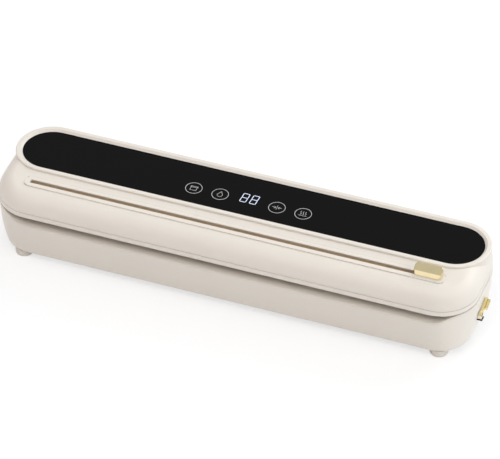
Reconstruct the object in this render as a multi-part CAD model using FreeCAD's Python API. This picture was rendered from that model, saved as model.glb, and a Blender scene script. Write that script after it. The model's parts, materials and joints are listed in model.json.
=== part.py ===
import FreeCAD, Part
import math
import os
from FreeCAD import Vector

# Vacuum sealer for kitchen bags, in millimetres.
# X runs along the case with the lock lever at +X, the front faces -Y, and Z = 0 is the table.
# While it is modelled, X = 0 is the middle of the case and Y = 0 the long middle line of the glass.
# The case is sized from the inside out: seal bar, vacuum chamber, seals, lock, walls.

# Clearances
fit = 0.15
play = 0.4
running_fit = 0.05
seal_gap = 0.35
parting_gap = 0.2
overrun = 1.0
flush_gap = 0.03
touch = 0.01

# Seal bar: heater below, press strip above
heater_half_length = 157.0
heater_width = 8.0
heater_seat = 4.0
heating_strip_width = 5.0
heating_strip_thickness = 0.2
heating_strip_end = 2.0
tape_thickness = 0.15
press_strip_height = 1.9
press_strip_seat = 1.0

# Vacuum chamber: a tray of frame and floor plate, whose wide flange carries the lower seal
chamber_y = -0.5
chamber_end_gap = 2.0
chamber_half_width = 12.5
chamber_corner = 6.0
chamber_depth = 9.4
tray_wall = 1.2
tray_floor = 1.6
tray_edge = 1.0
tray_ledge = 3.0
tray_ledge_thickness = 1.6
seal_margin = 3.0
seal_width = 4.5
seal_seat = 1.2
seal_height = 2.0
seal_end_gap = 1.5

# Distances that set the depth of the case, from the chamber outwards
heater_gap = 3.5
mouth_wall = 1.0
cutter_gap = 6.1
front_reach = 20.3
back_margin = 9.3
corner_radius = 29.1

# Heights, from the table up
foot_height = 6.0
base_height = 37.4
seam_gap = 0.5
lid_height = 21.0
lid_band_height = 4.6
glass_rise = 0.1
rim_rise = 1.5

# Base shell, bottom cover and feet
wall = 2.2
base_bow = 5.0
base_edge_radius = 2.0
cover_inset = 4.0
cover_thickness = 2.2
flange_width = 4.0
flange_thickness = 2.2
foot_radius = 7.0
foot_edge_radius = 1.5
foot_end_inset = 18.5
foot_side_inset = 7.7

# Bag mouth and base deck
mouth_height = 7.4
mouth_flat_margin = 3.0
mouth_end_gap = 5.5
deck_edge_height = 0.9
deck_recess = 1.0
deck_rim = 5.0
deck_thickness = 2.4
ledge_thickness = 3.2

# Lid
lid_draft = 0.4
nose_radius = 12.0
crease_gap = 4.0
crease_radius = 60.0
shelf_slope = 5.0
band_edge_radius = 0.8
groove_height = 0.6
groove_depth = 0.45
frame_lip = 3.0
frame_recess = 0.5
frame_plate = 2.0

# Rim round the glass panel, and the panel
rim_end_gap = 1.1
rim_back_gap = 1.4
rim_width = 5.2
rim_edge_radius = 0.8
rim_bevel = 1.85
rim_skirt = 9.5
rim_skirt_wall = 2.0
glass_thickness = 3.0
glass_seat_width = 3.2
glass_seat_thickness = 2.0

# Touch board under the glass
board_half_length = 55.0
board_half_width = 18.5
board_thickness = 1.6
pad_radius = 6.5
pad_gap = 0.2
pad_x = (-43.6, -22.7, 22.7, 43.6)
pad_y = -5.4
display_length = 20.0
display_width = 13.0
display_y = -3.0

# Cutter
slot_overrun = 5.2
slot_width = 3.9
strip_margin = 3.5
strip_end = 4.6
strip_thickness = 1.2
strip_rise = 0.9
strip_edge_radius = 0.15
channel_height = 5.4
channel_wall = 1.2
channel_width = 6.0
channel_lip = 1.2
channel_lip_gap = 3.6
cutter_stop_gap = 1.2
carriage_length = 22.0
neck_length = 16.0
stem_thickness = 2.4
stem_length = 16.0
blade_thickness = 0.5
blade_length = 12.0
blade_point = 3.0
blade_shift = 3.0
blade_reach = 5.4
blade_hold = 7.0
knob_length = 22.0
knob_width = 8.4
knob_height = 6.3
knob_front_height = 4.4
knob_lean = 1.0
knob_ridge = 1.3
knob_shift_y = 1.3
knob_corner_radius = 3.2
knob_edge_radius = 0.6
knob_dish = 0.5
cutter_screw_radius = 1.0
cutter_screw_shift = 5.0
cutter_screw_seat = 3.4

# Hinge at the back
barrel_radius = 2.6
hinge_pin_radius = 1.2
hinge_end_inset = 79.5
base_knuckle_length = 20.0
lid_knuckle_length = 10.0
knuckle_gap = 0.4
knuckle_root = 12.0
knuckle_tab = 3.2

# Lock: lever, shaft and two hooks
shaft_drop = 17.8
shaft_set_back = 3.8
shaft_radius = 2.5
lock_travel = 20.0
lever_tilt = 18.5
lever_length = 15.2
lever_height = 3.4
lever_thickness = 1.9
lever_wall_gap = 0.35
lever_boss_radius = 3.2
lever_shaft_seat = 0.6
tab_length = 8.4
tab_end_gap = 0.8
tab_reach = 2.0
tab_height = 2.3
tab_edge_radius = 0.3
lever_screw_radius = 1.6
lever_screw_head = 0.7
lever_screw_shank = 1.0
lever_screw_length = 5.0
guard_length = 4.6
guard_shift = 1.2
guard_gap = 1.2
guard_band = 0.8
guard_thickness = 0.8
guard_reach = 0.4
hook_thickness = 4.0
hook_side_gap = 1.5
hook_width = 4.0
hook_boss_radius = 5.0
hook_head = 3.4
hook_nose_angle = 15.5
catch_width = 4.4
catch_thickness = 1.0
catch_overlap = 3.5
post_thickness = 4.0
post_gap = 3.0
post_margin = 3.0
end_room = 8.0

# Screws
screw_radius = 1.4
screw_head_radius = 2.8
screw_head_height = 1.4
screw_length = 9.0
boss_radius = 3.3
boss_web = 2.0
base_screw_end_inset = 54.5
base_screw_side_inset = 9.5
base_boss_height = 8.0
lid_corner_screw_inset = 39.5
lid_middle_screw_inset = 129.5
lid_front_screw_inset = 69.5
lid_back_screw_y_inset = 5.6
lid_front_screw_y_inset = 8.4

# Pump and air line
pump_x = -35.0
pump_y = 3.5
motor_radius = 10.0
motor_flat = 7.7
motor_length = 27.0
motor_end_radius = 4.0
motor_end_length = 2.0
pump_length = 26.0
pump_width = 22.0
pump_height = 17.0
pump_edge_radius = 2.2
mount_height = 2.6
mount_length = 36.0
mount_width = 24.0
spout_radius = 2.0
spout_length = 8.0
hose_radius = 3.2
hose_wall = 1.1
hose_bend = 5.5
port_board_gap = 32.0
port_bore = 1.3
port_flange_radius = 5.0
port_flange_height = 0.8
port_tail = 4.5

# Power side
power_board_end_inset = 97.5
power_board_length = 70.0
power_board_width = 30.0
power_board_y = 1.0
stand_radius = 2.5
stand_height = 3.0
stand_inset = 4.0
transformer_length = 26.0
transformer_width = 22.0
transformer_height = 13.0
transformer_shift = 16.0
winding_length = 13.0
core_width = 14.6
winding_step = 1.0
capacitor_radius = 5.0
capacitor_height = 14.0
capacitor_shift = -14.0
capacitor_pitch = 12.0
inlet_end_inset = 49.5
inlet_drop = 19.4
inlet_pitch = 8.6
inlet_radius = 4.4
inlet_wall = 2.0
inlet_depth = 12.0
inlet_back = 2.0
inlet_flange = 1.5
inlet_flange_width = 1.6
inlet_stand_out = 1.1
inlet_pin_radius = 1.2
inlet_pin_length = 10.0
switch_end_inset = 17.0
switch_shift = 8.5
switch_length = 12.8
switch_width = 5.8
switch_height = 6.4
plunger_radius = 1.3
plunger_seat = 2.5
plunger_travel = 1.1

# Heights that follow
rim_top_z = foot_height + base_height
lid_edge_z = rim_top_z + seam_gap
lid_joint_z = lid_edge_z + lid_band_height
shelf_z = lid_edge_z + lid_height
glass_z = shelf_z + glass_rise
rim_z = glass_z + rim_rise
mouth_floor_z = lid_edge_z - mouth_height
ledge_z = mouth_floor_z - ledge_thickness
deck_z = rim_top_z - deck_recess
deck_parting_z = rim_top_z - deck_edge_height
plate_z = lid_edge_z + frame_recess
plate_top_z = plate_z + frame_plate
cover_top_z = foot_height + cover_thickness
flange_top_z = cover_top_z + flange_thickness
chamber_floor_z = deck_z - chamber_depth
tray_bottom_z = chamber_floor_z - tray_floor
press_bottom_z = plate_z - press_strip_height + press_strip_seat
heater_top_z = press_bottom_z - seal_gap - tape_thickness - heating_strip_thickness
lower_seal_top_z = deck_z - seal_seat + seal_height
upper_seal_bottom_z = lower_seal_top_z + seal_gap
glass_seat_z = glass_z - glass_thickness
seat_bottom_z = glass_seat_z - glass_seat_thickness
skirt_z = shelf_z - rim_skirt
strip_top_z = shelf_z - strip_rise
strip_bottom_z = strip_top_z - strip_thickness
channel_bottom_z = strip_bottom_z - channel_height
carriage_top_z = strip_bottom_z - play / 2
carriage_bottom_z = channel_bottom_z + channel_lip + play / 2
knob_z = strip_top_z + play / 2
blade_top_z = plate_top_z + blade_hold + overrun
shaft_z = rim_top_z - shaft_drop
catch_top_z = plate_z + catch_thickness
hinge_z = lid_edge_z + barrel_radius
board_top_z = cover_top_z + stand_height + board_thickness
motor_z = cover_top_z + mount_height + motor_flat
pump_z = cover_top_z + mount_height + pump_height / 2
inlet_z = rim_top_z - inlet_drop
switch_top_z = deck_z - deck_thickness
plunger_bottom_z = switch_top_z - plunger_seat

# Places across the case that follow
seal_outer = chamber_half_width + seal_margin + seal_width
heater_y = chamber_y - seal_outer - heater_gap - heater_width / 2
mouth_back_y = heater_y - heater_width / 2 - mouth_wall
slot_y = mouth_back_y - cutter_gap
case_front_y = slot_y - front_reach
case_back_y = chamber_y + seal_outer + back_margin
case_middle_y = (case_front_y + case_back_y) / 2
rim_radius = case_back_y - rim_back_gap
glass_radius = rim_radius - rim_width
crease_y = crease_gap - rim_radius
shaft_y = heater_y + shaft_set_back
hinge_y = case_back_y + play + barrel_radius
hinge_back_y = hinge_y + barrel_radius
switch_y = chamber_y + switch_shift
lean = math.radians(lock_travel)
catch_y = shaft_y + (catch_top_z - shaft_z) * math.tan(lean) + hook_width / 2 / math.cos(lean) + 2 * play
catch_back_y = catch_y + catch_width
hook_radius = math.hypot(catch_back_y - shaft_y, catch_top_z - shaft_z) + 2 * play

# Places along the case that follow
chamber_half_length = heater_half_length - chamber_end_gap
seal_outer_half = chamber_half_length + seal_margin + seal_width
tray_margin = seal_margin + seal_width + tray_edge
hook_slot_width = hook_thickness + 2 * hook_side_gap
catch_half_length = hook_slot_width / 2 + catch_overlap
hook_x = seal_outer_half + seal_end_gap + catch_half_length
post_x = hook_x + hook_slot_width / 2 + post_gap
case_half_length = post_x + post_thickness + end_room
mouth_flat_half = heater_half_length + mouth_flat_margin
mouth_half = case_half_length - mouth_end_gap
rim_half_length = case_half_length - rim_end_gap
glass_half_length = rim_half_length - rim_width
slot_half_length = heater_half_length + slot_overrun
strip_half_length = slot_half_length + strip_end
strip_half_width = slot_width / 2 + strip_margin
cutter_rest_x = slot_half_length - neck_length / 2 - cutter_stop_gap
channel_half_length = cutter_rest_x + carriage_length / 2 + play
cutter_screw_x = cutter_rest_x - cutter_screw_shift
hinge_x = case_half_length - hinge_end_inset
power_board_x = case_half_length - power_board_end_inset
port_x = power_board_x - port_board_gap
inlet_x = inlet_end_inset - case_half_length
switch_x = switch_end_inset - case_half_length

# The base's walls are arcs, upright at the rim and drawn in towards the table
bow_radius = (base_height ** 2 + base_bow ** 2) / (2 * base_bow)


def base_inset(z):
    drop = max(rim_top_z - z, 0)
    return bow_radius - math.sqrt(bow_radius ** 2 - drop ** 2)


lever_top_z = shaft_z + lever_length * math.sin(math.radians(lever_tilt)) + lever_height / 2
lever_x = case_half_length - base_inset(lever_top_z) + lever_wall_gap
lever_face_x = lever_x + lever_thickness
lever_tip_x = lever_face_x + tab_reach

# The finished part stands with its origin under the middle of its own bounding box
origin = Vector((lever_tip_x - case_half_length) / 2, (case_front_y + hinge_back_y) / 2, 0)


# Shapes that many pieces share

def box(x0, x1, y0, y1, z0, z1):
    return Part.makeBox(x1 - x0, y1 - y0, z1 - z0, Vector(x0, y0, z0))


def block(x, y, length, width, z0, z1):
    """Box centred on a point of the plan."""
    return box(x - length / 2, x + length / 2, y - width / 2, y + width / 2, z0, z1)


def post(radius, x, y, z0, z1):
    return Part.makeCylinder(radius, z1 - z0, Vector(x, y, z0))


def rod(radius, x0, x1, y, z):
    """Round bar along X."""
    return Part.makeCylinder(radius, x1 - x0, Vector(x0, y, z), Vector(1, 0, 0))


def slab(points, x0, x1):
    """Outline in the YZ plane, extruded along X."""
    corners = [Vector(x0, y, z) for y, z in points]
    face = Part.Face(Part.makePolygon(corners + corners[:1]))
    return face.extrude(Vector(x1 - x0, 0, 0))


def stadium(half_length, radius, y, z):
    """Outline of a long slot with round ends."""
    reach = half_length - radius
    right = Part.Arc(Vector(reach, y - radius, z), Vector(half_length, y, z), Vector(reach, y + radius, z))
    left = Part.Arc(Vector(-reach, y + radius, z), Vector(-half_length, y, z), Vector(-reach, y - radius, z))
    back = Part.makeLine(Vector(reach, y + radius, z), Vector(-reach, y + radius, z))
    front = Part.makeLine(Vector(-reach, y - radius, z), Vector(reach, y - radius, z))
    return Part.Wire([right.toShape(), back, left.toShape(), front])


def stadium_block(half_length, radius, y, z0, z1):
    return Part.Face(stadium(half_length, radius, y, z0)).extrude(Vector(0, 0, z1 - z0))


def chamber_block(margin, z0, z1):
    """Block with the outline of the vacuum chamber, grown by a margin."""
    length = 2 * (chamber_half_length + margin)
    width = 2 * (chamber_half_width + margin)
    body = block(0, chamber_y, length, width, z0, z1)
    upright = edges_where(body, lambda edge: edge.BoundBox.ZLength > (z1 - z0) / 2)
    return body.makeFillet(chamber_corner + margin, upright)


def rim_block(inset, z0, z1):
    return stadium_block(rim_half_length - inset, rim_radius - inset, 0, z0, z1)


def edges_where(shape, test):
    return [edge for edge in shape.Edges if test(edge)]


def middle(edge):
    return edge.valueAt((edge.FirstParameter + edge.LastParameter) / 2)


def level_edges(shape, z):
    def is_level(edge):
        bounds = edge.BoundBox
        return abs(bounds.ZMin - z) < touch and bounds.ZLength < touch

    return edges_where(shape, is_level)


def group(solids):
    return Part.makeCompound(solids)


# Forms of the case

def wall_section(inset, z0, z1):
    """Upright section from a corner's axis out to the base's bowed end wall."""
    axis_x = case_half_length - corner_radius
    top_z = min(z1, rim_top_z)
    bow = [Vector(case_half_length - inset - base_inset(z), 0, z) for z in (z0, (z0 + top_z) / 2, top_z)]
    edges = [Part.makeLine(Vector(axis_x, 0, z0), bow[0]), Part.Arc(*bow).toShape()]
    corner = bow[2]
    if z1 > top_z:
        corner = Vector(bow[2].x, 0, z1)
        edges.append(Part.makeLine(bow[2], corner))
    edges.append(Part.makeLine(corner, Vector(axis_x, 0, z1)))
    edges.append(Part.makeLine(Vector(axis_x, 0, z1), Vector(axis_x, 0, z0)))
    return Part.Face(Part.Wire(edges))


def base_block(inset, z0, z1):
    """Block with the base's bowed walls and round corners, set in by a distance."""
    axis_x = case_half_length - corner_radius
    axis_y = case_back_y - corner_radius
    section = wall_section(inset, z0, z1)
    section.translate(Vector(0, axis_y, 0))
    corner = section.revolve(Vector(axis_x, axis_y, 0), Vector(0, 0, 1), 90)
    end = section.extrude(Vector(0, case_middle_y - axis_y, 0))
    section.rotate(Vector(axis_x, axis_y, 0), Vector(0, 0, 1), 90)
    side = section.extrude(Vector(-axis_x, 0, 0))
    core = box(0, axis_x, case_middle_y, axis_y, z0, z1)
    quarter = corner.fuse([end, side, core])
    half = quarter.fuse(quarter.mirror(Vector(), Vector(1, 0, 0)))
    return half.fuse(half.mirror(Vector(0, case_middle_y, 0), Vector(0, 1, 0))).removeSplitter()


def case_plan(inset, z):
    """Rounded rectangle of the case's outline, set in by a distance."""
    radius = corner_radius - inset
    axis_x = case_half_length - corner_radius
    back_y = case_back_y - corner_radius
    front_y = case_front_y + corner_radius
    axes = [(axis_x, back_y), (-axis_x, back_y), (-axis_x, front_y), (axis_x, front_y)]
    arcs = []
    for turn, (x, y) in enumerate(axes):
        angles = [math.radians(90 * turn + step) for step in (0, 45, 90)]
        arcs.append([Vector(x + radius * math.cos(a), y + radius * math.sin(a), z) for a in angles])
    edges = []
    for index, points in enumerate(arcs):
        following = arcs[(index + 1) % len(arcs)]
        edges.append(Part.Arc(*points).toShape())
        edges.append(Part.makeLine(points[2], following[0]))
    return Part.Wire(edges)


def lid_inset(z):
    return lid_draft * (z - lid_edge_z) / lid_height


def lid_block(inset, z0, z1):
    """Block with the lid's drafted walls, set in by a distance."""
    plans = [case_plan(inset + lid_inset(z), z) for z in (z0, z1)]
    return Part.makeLoft(plans, True, True)


def above_shelf(top_z):
    """Space over the lid: level at the back, then falling to the front past a soft crease."""
    slope = math.radians(shelf_slope)
    back_y = case_back_y + overrun
    front_y = case_front_y - overrun
    roof_z = rim_z + overrun
    start = Vector(0, crease_y + crease_radius * math.tan(slope / 2), top_z)
    centre = start - Vector(0, 0, crease_radius)
    bend, end = [centre + Vector(0, -math.sin(a), math.cos(a)) * crease_radius for a in (slope / 2, slope)]
    low = Vector(0, front_y, end.z - (end.y - front_y) * math.tan(slope))
    path = [end, low, Vector(0, front_y, roof_z), Vector(0, back_y, roof_z), Vector(0, back_y, top_z), start]
    edges = [Part.makeLine(path[index], path[index + 1]) for index in range(len(path) - 1)]
    edges.append(Part.Arc(start, bend, end).toShape())
    reach = case_half_length + overrun
    space = Part.Face(Part.Wire(edges)).extrude(Vector(2 * reach, 0, 0))
    space.translate(Vector(-reach, 0, 0))
    return space


def lid_form(inset, z0):
    """The lid's moulded body: drafted walls, a shelf that falls to the front, and a round nose all about."""
    top_z = shelf_z - inset
    body = lid_block(inset, z0, top_z + overrun).cut(above_shelf(top_z))

    def is_brow(edge):
        spot = middle(edge)
        outline = case_plan(inset + lid_inset(spot.z), spot.z)
        on_wall = outline.distToShape(Part.Vertex(spot))[0] < 2 * touch
        upright = edge.BoundBox.ZLength > lid_height / 4
        return on_wall and not upright and edge.BoundBox.ZMin > z0 + overrun

    return body.makeFillet(nose_radius - inset, edges_where(body, is_brow))


# Base shell, deck and bottom

def mouth_outline(lift, top_z):
    """The bag mouth seen from the front: a flat floor that sweeps up to the rim at both ends."""
    floor_end = Vector(mouth_flat_half, 0, mouth_floor_z + lift)
    rim_end = Vector(mouth_half, 0, rim_top_z + lift)
    centre = (floor_end + rim_end) * 0.5
    chord = centre - floor_end
    sag = Vector(chord.z, 0, -chord.x) * (math.tan(math.atan2(chord.z, chord.x) / 2) / 2)
    outer_x = case_half_length + overrun
    right = [
        Part.Arc(floor_end, (floor_end + centre) * 0.5 + sag, centre).toShape(),
        Part.Arc(centre, (centre + rim_end) * 0.5 - sag, rim_end).toShape(),
        Part.makeLine(rim_end, Vector(outer_x, 0, rim_end.z)),
        Part.makeLine(Vector(outer_x, 0, rim_end.z), Vector(outer_x, 0, top_z)),
    ]
    left = [edge.mirror(Vector(), Vector(1, 0, 0)) for edge in right]
    floor = Part.makeLine(Vector(-mouth_flat_half, 0, floor_end.z), floor_end)
    roof = Part.makeLine(Vector(-outer_x, 0, top_z), Vector(outer_x, 0, top_z))
    return Part.Wire(Part.__sortEdges__(right + left + [floor, roof]))


def above_mouth_floor(lift):
    """Everything above the swept floor, from in front of the case to the back of the mouth."""
    front_y = case_front_y - overrun
    space = Part.Face(mouth_outline(lift, lid_joint_z)).extrude(Vector(0, mouth_back_y - front_y, 0))
    space.translate(Vector(0, front_y, 0))
    return space


def deck_zone(gap):
    """What the deck takes from the top of the base: its edge all round, and the ledge of the mouth."""
    length = 2 * (case_half_length + overrun)
    width = case_back_y - case_front_y + 2 * overrun
    edge = block(0, case_middle_y, length, width, deck_parting_z - gap, lid_edge_z)
    return edge.fuse(above_mouth_floor(-deck_edge_height - gap))


def base_screw_places():
    x = case_half_length - base_screw_end_inset
    inset = base_bow + base_screw_side_inset
    return [(sx * x, y) for sx in (-1, 0, 1) for y in (case_front_y + inset, case_back_y - inset)]


def screw_boss(x, y):
    """Boss for a bottom screw, with a web to the nearer long wall."""
    top_z = cover_top_z + base_boss_height
    wall_y = case_front_y if y < case_middle_y else case_back_y
    web = block(x, (y + wall_y) / 2, boss_web, abs(wall_y - y), cover_top_z, top_z)
    web = web.common(base_block(wall / 2, cover_top_z, top_z))
    return post(boss_radius, x, y, cover_top_z, top_z).fuse(web)


def base_shell():
    shell = base_block(0, foot_height, rim_top_z)
    shell = shell.makeFillet(base_edge_radius, level_edges(shell, foot_height))
    shell = shell.cut([
        base_block(wall, flange_top_z, lid_edge_z),
        base_block(cover_inset, foot_height - overrun, cover_top_z),
        base_block(cover_inset + flange_width, foot_height, flange_top_z + overrun),
    ])
    shell = shell.fuse([screw_boss(x, y) for x, y in base_screw_places()])
    pilot_z = foot_height + screw_length + fit
    shell = shell.cut([post(screw_radius, x, y, foot_height, pilot_z) for x, y in base_screw_places()])
    shell = shell.cut(deck_zone(parting_gap))
    shell = shell.fuse(base_knuckles())
    shell = shell.cut(hinge_bores())
    shell = shell.cut(rod(shaft_radius + play, 0, case_half_length, shaft_y, shaft_z))
    shell = shell.cut(inlet_form(inlet_radius + inlet_wall + fit, -inlet_depth, inlet_stand_out + overrun))
    return shell.removeSplitter()


def ahead(back_y):
    """The whole space of the case in front of a line along it."""
    return box(-case_half_length, case_half_length, case_front_y, back_y, 0, rim_z)


def behind(front_y):
    """The whole space of the case behind a line along it."""
    return box(-case_half_length, case_half_length, front_y, case_back_y, 0, rim_z)


def deck_hollow():
    """Space under the deck, behind the solid part that carries the heater and the ledge."""
    space = base_block(wall + fit + deck_thickness, ledge_z - overrun, deck_z - deck_thickness)
    return space.common(behind(heater_y + heater_width / 2 + deck_thickness))


def deck_dip():
    """The sunk middle of the deck, inside its rim and behind the mouth."""
    return base_block(deck_rim, deck_z, lid_edge_z).common(behind(mouth_back_y - overrun))


def deck_form():
    """Top of the base, before it is hollowed: its edge lies on the shell, the rest fits inside."""
    top = base_block(0, ledge_z, rim_top_z).common(deck_zone(0))
    return top.fuse(base_block(wall + fit, ledge_z, rim_top_z))


def bag_ledge():
    """Sill of the mouth, which the bag lies on, with its swept ends."""
    ledge = deck_form().common(ahead(mouth_back_y))
    return ledge.cut(above_mouth_floor(0)).removeSplitter()


def base_deck():
    deck = deck_form().common(behind(mouth_back_y))
    deck = deck.cut([deck_dip(), deck_hollow()])
    deck = deck.fuse(bearing_posts() + [tray_support()])
    deck = deck.cut(chamber_block(tray_margin - tray_ledge, ledge_z - overrun, rim_top_z))
    deck = deck.cut(chamber_block(tray_margin + fit, deck_z - deck_thickness, rim_top_z))
    deck = deck.cut(seal_bar_seat(heater_top_z - heater_seat, rim_top_z))
    deck = deck.cut([hook_slot(side, ledge_z - overrun, rim_top_z) for side in (-1, 1)])
    deck = deck.cut(rod(shaft_radius + running_fit, -case_half_length, case_half_length, shaft_y, shaft_z))
    deck = deck.cut([switch_box(fit), plunger(plunger_radius + play, plunger_bottom_z, rim_top_z)])
    return deck.removeSplitter()


def bottom_cover():
    cover = base_block(cover_inset + fit, foot_height, cover_top_z)
    head_z = foot_height + screw_head_height
    for x, y in base_screw_places():
        cover = cover.cut(post(screw_radius + fit, x, y, foot_height, cover_top_z))
        cover = cover.cut(post(screw_head_radius + fit, x, y, foot_height, head_z))
    stand_z = cover_top_z + stand_height
    stands = [post(stand_radius, x, y, cover_top_z, stand_z) for x, y in power_board_stands()]
    return cover.fuse(stands).removeSplitter()


def feet():
    x = case_half_length - base_bow - foot_end_inset
    inset = base_bow + foot_side_inset
    pads = []
    for foot_x in (-x, x):
        for foot_y in (case_front_y + inset, case_back_y - inset):
            pad = post(foot_radius, foot_x, foot_y, 0, foot_height)
            pads.append(pad.makeFillet(foot_edge_radius, level_edges(pad, 0)))
    return group(pads)


def screw(x, y, z):
    """Screw driven upwards, with the face of its head at z."""
    head = post(screw_head_radius, x, y, z, z + screw_head_height)
    return head.fuse(post(screw_radius, x, y, z, z + screw_length))


def bottom_screws():
    return group([screw(x, y, foot_height) for x, y in base_screw_places()])


# Vacuum chamber and seal bar

def tray_support():
    """Ledge under the deck that the tray's flange rests on."""
    top_z = deck_z - deck_thickness
    return chamber_block(tray_margin + tray_ledge, top_z - tray_ledge_thickness, top_z)


def vacuum_tray():
    """Frame of the drip tray, which lies in the deck by its flange."""
    tray = chamber_block(tray_wall, chamber_floor_z, deck_z)
    tray = tray.fuse(chamber_block(tray_margin, deck_z - deck_thickness, deck_z))
    tray = tray.cut(chamber_block(0, chamber_floor_z, deck_z))
    return tray.cut(seal_ring(deck_z - seal_seat, deck_z, fit)).removeSplitter()


def tray_base():
    """Floor plate under the tray's frame, with a seat for the vacuum port."""
    plate = chamber_block(tray_wall, tray_bottom_z, chamber_floor_z)
    seat_z = chamber_floor_z - port_flange_height
    plate = plate.cut(post(port_flange_radius + fit, port_x, chamber_y, seat_z, chamber_floor_z))
    return plate.cut(post(spout_radius + fit, port_x, chamber_y, tray_bottom_z, chamber_floor_z))


def seal_ring(z0, z1, room):
    outer = chamber_block(seal_margin + seal_width + room, z0, z1)
    return outer.cut(chamber_block(seal_margin - room, z0, z1))


def lower_seal():
    return seal_ring(deck_z - seal_seat, lower_seal_top_z, 0)


def upper_seal():
    return seal_ring(upper_seal_bottom_z, plate_z + seal_seat, 0)


def seal_bar(half_length, width, z0, z1):
    return block(0, heater_y, 2 * half_length, width, z0, z1)


def seal_bar_seat(z0, z1):
    return seal_bar(heater_half_length + fit, heater_width + 2 * fit, z0, z1)


def heater_bar():
    return seal_bar(heater_half_length, heater_width, heater_top_z - heater_seat, heater_top_z)


def heating_strip():
    half_length = heater_half_length - heating_strip_end
    return seal_bar(half_length, heating_strip_width, heater_top_z, heater_top_z + heating_strip_thickness)


def heater_tape():
    z0 = heater_top_z + heating_strip_thickness
    return seal_bar(heater_half_length, heater_width, z0, z0 + tape_thickness)


def press_strip():
    return seal_bar(heater_half_length, heater_width, press_bottom_z, press_bottom_z + press_strip_height)


# Hinge

def base_knuckle_spans():
    half = base_knuckle_length / 2
    return [(x - half, x + half) for x in (-hinge_x, hinge_x)]


def lid_knuckle_spans():
    start = base_knuckle_length / 2 + knuckle_gap
    spans = []
    for x in (-hinge_x, hinge_x):
        spans.append((x - start - lid_knuckle_length, x - start))
        spans.append((x + start, x + start + lid_knuckle_length))
    return spans


def hinge_spans():
    half = base_knuckle_length / 2 + knuckle_gap + lid_knuckle_length
    return [(x - half, x + half) for x in (-hinge_x, hinge_x)]


def base_knuckles():
    """Hinge barrels on arms that rise from the back wall, behind the lid."""
    root_y = case_back_y - wall / 2
    front_y = hinge_y - barrel_radius
    root_z = deck_parting_z - parting_gap
    arm = [
        (root_y, root_z),
        (front_y, root_z),
        (front_y, hinge_z),
        (hinge_back_y, hinge_z),
        (hinge_back_y, root_z),
        (root_y, root_z - knuckle_root),
    ]
    spans = base_knuckle_spans()
    return [rod(barrel_radius, x0, x1, hinge_y, hinge_z).fuse(slab(arm, x0, x1)) for x0, x1 in spans]


def lid_knuckles():
    """Hinge barrels on short tabs from the lid's band."""
    root_y = case_back_y - wall / 2
    low_z = hinge_z - knuckle_tab / 2
    barrels = []
    for x0, x1 in lid_knuckle_spans():
        tab = box(x0, x1, root_y, hinge_y, low_z, low_z + knuckle_tab)
        barrels.append(rod(barrel_radius, x0, x1, hinge_y, hinge_z).fuse(tab))
    return barrels


def hinge_bores():
    return [rod(hinge_pin_radius + running_fit, x0, x1, hinge_y, hinge_z) for x0, x1 in hinge_spans()]


def hinge_pins():
    return group([rod(hinge_pin_radius, x0, x1, hinge_y, hinge_z) for x0, x1 in hinge_spans()])


# Lid

def groove():
    """Line that parts the lid cover from the lid frame."""
    z0 = lid_joint_z - groove_height / 2
    z1 = lid_joint_z + groove_height / 2
    return lid_block(-overrun, z0, z1).cut(lid_block(groove_depth, z0, z1))


def lid_screw_places():
    corner_x = case_half_length - lid_corner_screw_inset
    middle_x = case_half_length - lid_middle_screw_inset
    front_x = case_half_length - lid_front_screw_inset
    back_y = case_back_y - lid_back_screw_y_inset
    front_y = case_front_y + lid_front_screw_y_inset
    back = [(x, back_y) for x in (-corner_x, -middle_x, middle_x, corner_x)]
    return back + [(x, front_y) for x in (-front_x, front_x)]


def rim():
    """Raised rim round the glass, with a skirt inside the lid."""
    body = rim_block(0, skirt_z, rim_z)
    body = body.makeFillet(rim_edge_radius, level_edges(body, rim_z))
    return body.cut(rim_block(rim_skirt_wall, skirt_z, seat_bottom_z))


def glass_opening():
    """Bevelled mouth, pocket and window for the glass."""
    low = stadium(glass_half_length + fit, glass_radius + fit, 0, glass_z)
    high = stadium(glass_half_length + rim_bevel, glass_radius + rim_bevel, 0, rim_z)
    bevel = Part.makeLoft([low, high], True, True)
    pocket = stadium_block(glass_half_length + fit, glass_radius + fit, 0, glass_seat_z, glass_z)
    half_length = glass_half_length - glass_seat_width
    radius = glass_radius - glass_seat_width
    window = stadium_block(half_length, radius, 0, seat_bottom_z - overrun, glass_seat_z)
    return [bevel, pocket, window]


def lid_cover():
    inner_form = lid_form(wall / 2, lid_joint_z)
    under_glass = rim_block(rim_skirt_wall, lid_joint_z, seat_bottom_z).common(inner_form)
    cover = lid_form(0, lid_joint_z).cut([lid_form(wall, lid_joint_z - overrun), under_glass])
    cover = cover.fuse(rim())
    places = lid_screw_places()
    bosses = [post(boss_radius, x, y, plate_top_z, seat_bottom_z) for x, y in places]
    cover = cover.fuse([boss.common(lid_form(wall / 2, plate_top_z)) for boss in bosses])
    cover = cover.cut(glass_opening())
    pilot_z = plate_z + screw_length + fit
    cover = cover.cut([post(screw_radius, x, y, plate_z, pilot_z) for x, y in places])
    cover = cover.cut(rail_seat() + [groove()])
    return cover.removeSplitter()


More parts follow.
